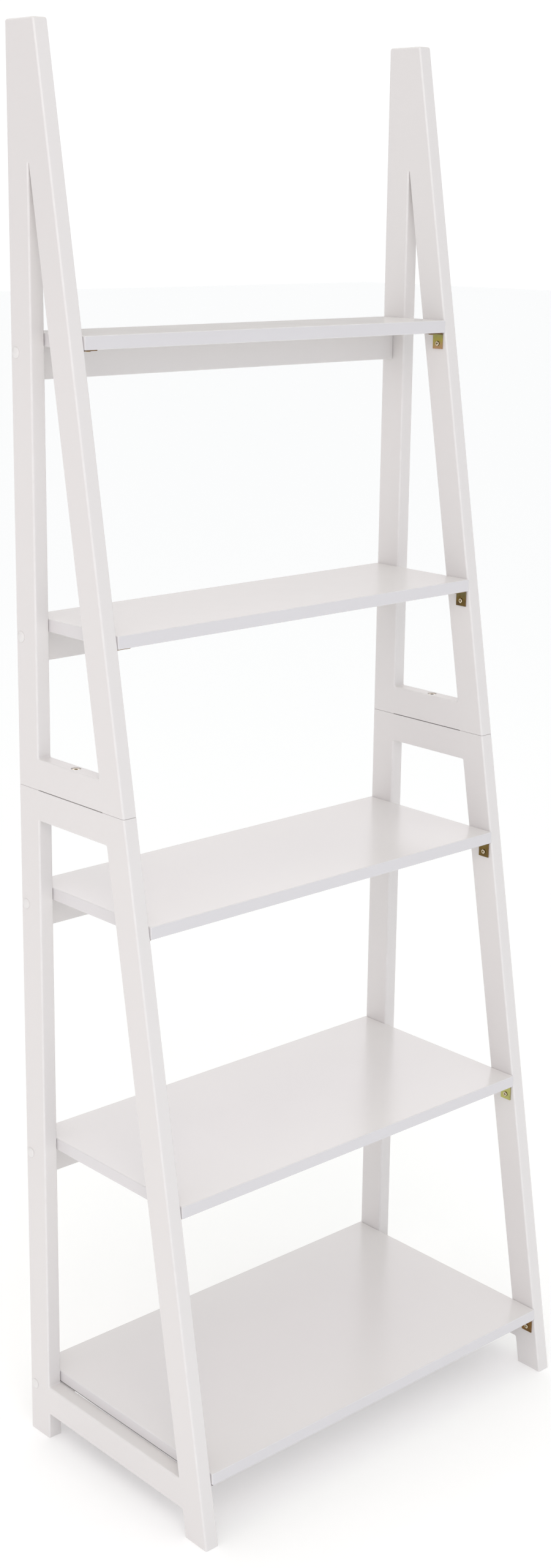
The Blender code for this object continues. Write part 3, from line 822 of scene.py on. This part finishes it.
tree.links.new(bump.outputs[0], shader.inputs["Normal"])
print("material", zinc.name, "with", len(stops), "colour stops")

# %% [markdown]
# ## Angle brackets
# A bracket is a strip of sheet steel with its corners eased, bent through a right angle and held
# by two small pan-head screws. The strip is a section carried along a path: up one leg, round the
# bend and out along the other. The section is a thin rounded rectangle, and it narrows at both
# ends as the corner circles do.


# %% Bracket plate
PLATE_THICK = 0.0012
BEND_RADIUS = 0.0030
LEG_LENGTH = 0.021
PLATE_CORNER = 0.0003  # round the corners of the strip, seen flat
PLATE_EASING = 0.0002  # along the sheared edges of the sheet
SCREW_FROM_CORNER = 0.014


def strip_section(half_width, half_thick, easing):
    """A rounded rectangle about its middle, as an array (points, 2), anticlockwise."""
    steps = np.linspace(0.0, np.pi / 2, 4)
    corner = np.stack([np.cos(steps), np.sin(steps)], -1) * easing
    signs = np.array([(1, 1), (-1, 1), (-1, -1), (1, -1)])
    turned_corners = [corner, corner[::-1] * (-1, 1), -corner, corner[::-1] * (1, -1)]
    inner = np.array([half_width - easing, half_thick - easing])
    return np.concatenate([arc + sign * inner for arc, sign in zip(turned_corners, signs)])


def bracket_plate(wide):
    """The bent strip in its own frame: U away from the post, V along the shelf end, W up.

    The path is the middle of the sheet: it climbs the leg along W, turns a quarter circle and runs
    out along U. A section point (across, out) sits across in V and out along the path's normal.
    """
    middle_radius = BEND_RADIUS - PLATE_THICK / 2
    straight = LEG_LENGTH - BEND_RADIUS
    end = PLATE_CORNER * (1 - np.cos(np.linspace(0.0, np.pi / 2, 6)))
    first = np.concatenate([end, [straight]])
    bend = np.linspace(0.0, np.pi / 2, 8)[1:-1]
    half_thick = PLATE_THICK / 2
    leg = np.stack([np.full(len(first), half_thick), -LEG_LENGTH + first], -1)
    spoke = np.stack([-np.cos(bend), np.sin(bend)], -1)
    arc = middle_radius * spoke + (BEND_RADIUS, -BEND_RADIUS)
    path = np.concatenate([leg, arc, -leg[::-1, ::-1]])
    flat = np.ones((len(leg), 1))
    normal = np.concatenate([flat * (-1.0, 0.0), spoke, flat * (0.0, 1.0)])
    narrow = inset_at(first, PLATE_CORNER)
    narrow = np.concatenate([narrow, np.zeros(len(bend)), narrow[::-1]])
    section = strip_section(wide / 2, half_thick, PLATE_EASING)
    across = section[:, 0] - np.sign(section[:, 0]) * narrow[:, None]
    out = section[:, 1]
    centre_line = path[:, None] + normal[:, None] * out[:, None]
    points = np.stack([centre_line[..., 0], across, centre_line[..., 1]], -1)
    rows, columns = points.shape[:2]
    faces = grid_faces(rows, columns, closed=True).tolist() + end_faces(rows, columns)
    on_flat = np.abs(out) > half_thick - 1e-7
    rounding = np.tile(np.where(on_flat, 0.0, 1.0), rows)
    return points.reshape(-1, 3), faces, rounding


print("plate", LEG_LENGTH * 1000, "mm legs,", PLATE_THICK * 1000, "mm thick")

# %% [markdown]
# The screws have a low dome with a cross recess. The recess is a dent in the height of the dome:
# deep where a point lies inside either bar of the cross, and faded out towards the rim.


# %% Small screws
HEAD_RADIUS = 0.0033
HEAD_THICK = 0.0019
DOME_DROP, RIM_DROP = 0.0011, 0.0014  # from the top of the head to the edge and the rim
NECK_RADIUS, POINT_LENGTH = 0.0016, 0.002
BAR_HALF_WIDTH, BAR_REACH, RECESS_DEPTH = 0.00055, 0.0017, 0.0009
DOME_ROWS = 12
# the crease tone is the darkest film colour, laid into recesses and under rims as painted shade
BARE_TONE, STRAW_TONE, CREASE_SHADE_TONE = -0.1, 0.34, 0.88


def pan_head(seat, axis, shank=0.010):
    """A pan-head screw: a dome with a cross recess above its seat, and a short shank below.

    Height falls with the square of the radius. The dent is full inside the nearer bar of the cross,
    and fades with the square of the distance from its middle and the fourth power of its reach. The
    tones are bare metal on the rubbed dome, and the darkest film colour in the recess and under the
    rim, which is painted shade.
    """
    part = np.linspace(0.0, 1.0, DOME_ROWS)
    radius = HEAD_RADIUS * 0.94 * part
    dome = HEAD_THICK - DOME_DROP * part**2
    rim = [(HEAD_RADIUS, HEAD_THICK - RIM_DROP), (HEAD_RADIUS, 0.0001), (HEAD_RADIUS * 0.97, 0.0)]
    neck = [(NECK_RADIUS, 0.0), (NECK_RADIUS, -shank + POINT_LENGTH), (0.0, -shank)]
    profile = np.concatenate([np.stack([radius, dome], -1), rim, neck])
    points, faces = turned(profile, seat, axis)
    grid = points.reshape(len(profile), TURN_STEPS, 3)
    angle = np.linspace(0.0, 2 * np.pi, TURN_STEPS, endpoint=False)
    x, y = np.abs(radius[:, None] * np.cos(angle)), np.abs(radius[:, None] * np.sin(angle))
    bar = np.minimum(x, y) / BAR_HALF_WIDTH
    reach = np.maximum(x, y) / BAR_REACH
    dent = np.clip(1.6 - bar**2, 0.0, 1.0) * np.clip(1.5 - reach**4, 0.0, 1.0)
    grid[:DOME_ROWS] -= RECESS_DEPTH * dent[..., None] * np.asarray(axis, float)
    tones = np.full(grid.shape[:2], CREASE_SHADE_TONE)
    tones[: DOME_ROWS - 1] = BARE_TONE + (CREASE_SHADE_TONE - BARE_TONE) * dent[:-1]
    return grid.reshape(-1, 3), faces, tones.reshape(-1)


# Film thickness at the foot of the leg, under the bend and in it, shelf by shelf from the floor up.
# The plating bath leaves each bracket its own colours. Here the two of one shelf share theirs.
# The darkest tone in the bend of the top shelf's brackets is partly film colour and partly painted
# shade, where the bend lies under the shelf.
UNDER_BEND, IN_BEND = 0.0035, 0.0015
LEG_FILM_AND_SHADE_TONES = {
    1: (1.00, 1.00, 0.90),
    2: (0.44, 0.49, 0.52),
    3: (0.84, 0.74, 0.84),
    4: (0.89, 0.67, 0.74),
    5: (0.13, 0.32, 0.88),
}
for number in NUMBERS:
    for side, sign in SIDES.items():
        low, high = corners(f"bracket_{number}_{side}")
        under = SHELVES[number][0][2] - GAP
        corner = np.array([sign * (INNER_X - GAP), (low[1] + high[1]) / 2, under])
        plate, plate_faces, rounding = bracket_plate(high[1] - low[1])
        plate = plate * (-sign, 1.0, 1.0) + corner
        if sign < 0:
            plate_faces = [face[::-1] for face in plate_faces]
        on_leg = corner + (-sign * PLATE_THICK, 0, -SCREW_FROM_CORNER)
        on_arm = corner + (-sign * SCREW_FROM_CORNER, 0, -PLATE_THICK)
        *in_post, post_tones = pan_head(on_leg, (-sign, 0, 0))
        *in_shelf, shelf_tones = pan_head(on_arm, (0, 0, -1))
        points, faces = joined(in_post, in_shelf)
        faces += [[index + len(points) for index in face] for face in plate_faces]
        points = np.concatenate([points, plate])
        rounding = np.concatenate([np.zeros(len(points) - len(plate)), rounding])
        heights = (under - LEG_LENGTH, under - UNDER_BEND, under - IN_BEND)
        plate_tones = np.interp(plate[:, 2], heights, LEG_FILM_AND_SHADE_TONES[number])
        film_and_shade_tone = np.concatenate([post_tones, shelf_tones, plate_tones])
        values = {"rounding": rounding, "film_and_shade_tone": film_and_shade_tone}
        nodes = [f"bracket_{number}_{side}"]
        bracket = make_piece(
            f"angle_bracket_{number}_{side}", points, faces, zinc, nodes, values
        )
print("last bracket", bracket.name, len(bracket.data.polygons), "faces")

# %% [markdown]
# ## Seam bolts
# One bolt on each side pulls the upper half down on the lower one. Its head sits in a pocket in
# the top of the upper rail, with a key socket in the middle. The socket is a hexagon, which is a
# circle whose radius grows towards its six corners.


# %% Bolts
BOLT_HEAD_THICK, BOLT_SHANK_RADIUS = 0.0025, 0.0030
CROWN = 0.0010  # how far the edge of the head lies under its top
SOCKET_WIDE = 0.0021  # from the middle to a flat of the hexagon
SOCKET_ROWS = 4


def bolt_shape(start, head_radius, length):
    """A socket-head bolt from the top of its head down, turned about the vertical.

    The first rows are the socket: their radius is the flat distance of a hexagon over the cosine
    of the angle to the nearest flat. The later rows are round.
    """
    socket = [(0.0, -0.0014), (0.8, -0.0014), (0.98, -0.0013), (1.0, -0.0001)]
    angles = np.linspace(0.0, np.pi / 2, 5)
    dome = [(head_radius * (0.80 + 0.20 * math.sin(a)), CROWN * (math.cos(a) - 1)) for a in angles]
    below = [
        (head_radius, -BOLT_HEAD_THICK + 0.0002),
        (head_radius - 0.0002, -BOLT_HEAD_THICK),
        (BOLT_SHANK_RADIUS, -BOLT_HEAD_THICK),
        (BOLT_SHANK_RADIUS, -length + POINT_LENGTH),
        (0.0, -length),
    ]
    lip = [(SOCKET_WIDE * 1.18, 0.0)]
    profile = [(SOCKET_WIDE * radius, height) for radius, height in socket] + lip + dome + below
    # the socket and the rows under the head take the dark tone as painted shade
    tones = [CREASE_SHADE_TONE] * SOCKET_ROWS + [BARE_TONE] * 4 + [STRAW_TONE] + [CREASE_SHADE_TONE] * 6

    def hexagon(radius, angle):
        nearest = (angle + np.pi / 6) % (np.pi / 3) - np.pi / 6
        radius = radius.copy()
        radius[:SOCKET_ROWS] /= np.cos(nearest)
        return radius

    return *turned(profile, start, (0, 0, 1), edge=hexagon), np.repeat(tones, TURN_STEPS)


for side, sign in SIDES.items():
    low, high = corners(f"seam_bolt_{side}")
    start = (sign * BOLT_X, BOLT_Y, high[2])
    points, faces, film_and_shade_tone = bolt_shape(start, (high[0] - low[0]) / 2, high[2] - low[2])
    values = {"rounding": np.zeros(len(points)), "film_and_shade_tone": film_and_shade_tone}
    nodes = [f"seam_bolt_{side}"]
    bolt = make_piece(f"frame_bolt_{side}", points, faces, zinc, nodes, values)
print("bolt", bolt.name, "head top at", round(float(high[2]), 4))

# %% [markdown]
# ## Cover caps
# Low plastic domes hide the furniture screws. The moulding is duller and a shade lighter than the
# lacquer. The dome is a shallow arc that ends in a short upright rim, and a collar under it plugs
# the hole.

# %% Caps
plastic = lacquer(
    "cap_plastic", (0.80, 0.785, 0.77), WHITE_WOOD_EDGE_SHEEN, (1.0, 1.0, 1.0),
    roughness=0.38, grain=0.0, drift=0.02,
)
CAP_RADIUS = 0.0065
CAP_ROWS = 9
COLLAR_RADIUS, COLLAR_DEPTH = 0.0046, 0.0012
for number in NUMBERS:
    for side, sign in SIDES.items():
        low, high = corners(f"screw_cap_{number}_{side}")
        rise = (high[0] if sign > 0 else -low[0]) - OUTER_X
        part = np.linspace(0.0, 1.0, CAP_ROWS)
        dome = np.stack([CAP_RADIUS * 0.95 * part, rise - 0.55 * rise * part**2.4], -1)
        rim = [(CAP_RADIUS, rise * 0.28), (CAP_RADIUS, 0.00006), (CAP_RADIUS * 0.97, 0.0)]
        collar = [(COLLAR_RADIUS, 0.0), (COLLAR_RADIUS, -COLLAR_DEPTH), (0.0, -COLLAR_DEPTH)]
        profile = np.concatenate([dome, rim, collar])
        middle = (low + high) / 2
        points, faces = turned(profile, (sign * OUTER_X, middle[1], middle[2]), (sign, 0, 0))
        edge_row = np.zeros(len(profile))
        # the top of the rim takes the lighter edge colour: partly worn, partly a painted highlight
        edge_row[CAP_ROWS] = 1.0  # only the top of the rim is worn
        values = {"rounding": np.repeat(edge_row, TURN_STEPS)}
        nodes = [f"screw_cap_{number}_{side}"]
        cap = make_piece(
            f"cover_cap_{number}_{side}", points, faces, plastic, nodes, values
        )
print("last cap", cap.name, "stands", round(float(rise) * 1000, 2), "mm proud")

# %% [markdown]
# ## Hidden fixings
# The furniture screws under the caps and the dowels across the seam keep their CAD shape. They
# still get a proper finish: bright zinc for the screws, and turned beech with its fine pores for
# the dowels.

# %% Screws and dowels
def two_toned(name, grain, dark, pale, smooth, rough, metallic=0.0):
    """A material whose colour and roughness follow one noise. grain is (stretch, scale, detail,
    roughness) of that noise.
    """
    material, tree, shader = new_material(name, metallic)
    stretch, *noise_values = grain
    drawn = add(tree, "Mapping", {"Vector": object_place(tree)}, {"Scale": stretch})
    pattern = noise(tree, drawn.outputs[0], *noise_values)
    tree.links.new(blend_colours(tree, pattern, dark, pale), shader.inputs["Base Color"])
    tree.links.new(spread(tree, pattern, smooth, rough), shader.inputs["Roughness"])
    return material


blotches = ((1.0, 1.0, 1.0), 500.0, 4.0, 0.5)
pores = ((1.0, 1.0, 0.08), 1500.0, 4.0, 0.6)
steel = two_toned("zinc_steel", blotches, (0.52, 0.53, 0.55), (0.70, 0.70, 0.70), 0.28, 0.45, 1.0)
beech = two_toned("beech", pores, (0.45, 0.29, 0.16), (0.68, 0.49, 0.31), 0.50, 0.70)
FINISHES = {"rail_screw_": steel, "seam_pin_": beech}
for name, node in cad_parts.items():
    for start, finish in FINISHES.items():
        if name.startswith(start):
            node.data.materials[0] = finish
print("hidden fixings have their finish")

# %% [markdown]
# ## Floor, light and camera
# The shelf stands on a plain pale floor in a white studio. White furniture on white needs light
# that wraps round it, yet each face has to keep its own tone. So the world is a sum of soft lobes,
# one for each direction that the faces look in, and two bands low behind the shelf give the level
# tops their sheen. Four large lamps add shadows, and the floor glows a little, as a light table
# does, so that those on it stay pale. The colours of the lights were fitted outside this lesson,
# until each face had its tone.

# %% Floor
FLOOR_GLOW = 0.15
FLOOR_REACH = 30  # metres from the middle to an edge
floor_mesh = bpy.data.meshes.new("studio_floor")
floor_corners = [(x * FLOOR_REACH, y * FLOOR_REACH, 0) for x, y in ((-1, -1), (1, -1), (1, 1), (-1, 1))]
floor_mesh.from_pydata(floor_corners, [], [(0, 1, 2, 3)])
floor_paint, tree, shader = new_material("floor_paint")
shader.inputs["Roughness"].default_value = 0.9
shader.inputs["Specular IOR Level"].default_value = 0.1
shader.inputs["Base Color"].default_value = (0.97, 0.97, 0.97, 1.0)
shader.inputs["Emission Color"].default_value = (1.0, 1.0, 1.0, 1.0)
shader.inputs["Emission Strength"].default_value = FLOOR_GLOW
floor_mesh.materials.append(floor_paint)
floor = bpy.data.objects.new("studio_floor", floor_mesh)
bpy.context.scene.collection.objects.link(floor)
floor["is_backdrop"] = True
print("floor is ready")

# %% World and lamps
world = bpy.data.worlds.new("studio")
bpy.context.scene.world = world
world.use_nodes = True
tree = world.node_tree
background = tree.nodes["Background"]
way = add(tree, "TexCoord").outputs["Generated"]
height = add(tree, "SeparateXYZ", {"Vector": way}).outputs["Z"]
UP, LEFT, FRONT = (0.0, 0.0, 1.0), (-1.0, 0.0, 0.0), (0.0, -1.0, 0.0)
BEHIND = (0.66, 0.75, 0.0)
BACKDROP = (1.05, 1.05, 1.05)


def lobe(direction, colour, middle=None, width=None):
    """Soft light that comes from a direction: its colour times the cosine of the angle to it.

    With a middle and a width, the light is kept to a band: it falls off evenly above and below
    the middle, to nothing a width away, where height is the sine of the angle over the floor.
    """
    towards = add(tree, "VectorMath", {0: way}, {1: direction}, operation="DOT_PRODUCT")
    amount = maths(tree, "MAXIMUM", towards.outputs["Value"], 0.0)
    if middle is not None:
        away = maths(tree, "ABSOLUTE", maths(tree, "SUBTRACT", height, middle), 0.0)
        amount = maths(tree, "MULTIPLY", amount, spread(tree, away, 1.0, 0.0, 0.0, width))
    scaled = add(tree, "VectorMath", {"Scale": amount}, {0: colour}, operation="SCALE")
    return scaled.outputs["Vector"]


lobes = [
    lobe(UP, (0.747, 0.765, 0.729)),
    lobe(LEFT, (0.531, 0.531, 0.575)),
    lobe(FRONT, (0.522, 0.526, 0.582)),
    lobe(BEHIND, (1.287, 1.225, 1.251), middle=0.22, width=0.14),
    lobe(BEHIND, (2.375, 2.304, 2.438), middle=0.42, width=0.16),
]
total = lobes[0]
for part in lobes[1:]:
    total = add(tree, "VectorMath", {0: total, 1: part}, operation="ADD").outputs["Vector"]
seen = add(tree, "LightPath").outputs["Is Camera Ray"]
tree.links.new(blend_colours(tree, seen, total, BACKDROP), background.inputs["Color"])
bpy.context.scene.view_settings.view_transform = "Standard"


def soft_lamp(name, place, target, size, watts, colour=(1.0, 1.0, 1.0)):
    """A large square lamp that faces a target."""
    lamp = bpy.data.lights.new(name, "AREA")
    lamp.shape = "SQUARE"
    lamp.size, lamp.energy, lamp.color = size, watts, colour
    holder = bpy.data.objects.new(name, lamp)
    holder.location = place
    holder.rotation_euler = (Vector(target) - Vector(place)).to_track_quat("-Z", "Y").to_euler()
    bpy.context.scene.collection.objects.link(holder)
    return holder


MIDDLE = (0.0, 0.0, 0.8)
soft_lamp("high", (-1.8, -2.2, 3.0), MIDDLE, 1.5, 14.3, (1.0, 0.88, 0.83))
soft_lamp("overhead", (0.3, 0.3, 3.8), (0.0, 0.0, 0.0), 2.5, 6.9, (1.0, 0.95, 0.66))
soft_lamp("low", (-1.0, -2.8, 0.5), MIDDLE, 1.5, 4.0, (0.65, 0.85, 1.0))
soft_lamp("left", (-3.0, 0.2, 1.2), MIDDLE, 1.5, 3.4, (1.0, 0.68, 0.58))
print("lamps", [light.name for light in bpy.data.lights])

# %% Camera
camera_data = bpy.data.cameras.new("camera")
camera_data.sensor_width = 36.0
camera_data.lens = 47.717
camera_data.shift_x, camera_data.shift_y = 0.02134, -0.02215
camera = bpy.data.objects.new("camera", camera_data)
camera.location = (-1.74748, -1.83657, 1.58246)
camera.rotation_euler = Euler([math.radians(a) for a in (75.27666, -0.47229, -41.57553)])
bpy.context.scene.collection.objects.link(camera)
bpy.context.scene.camera = camera
print("camera at", tuple(round(v, 2) for v in camera.location))

# %% Finish
low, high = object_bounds()
print("visual box", [round(v, 4) for v in (*low, *high)])
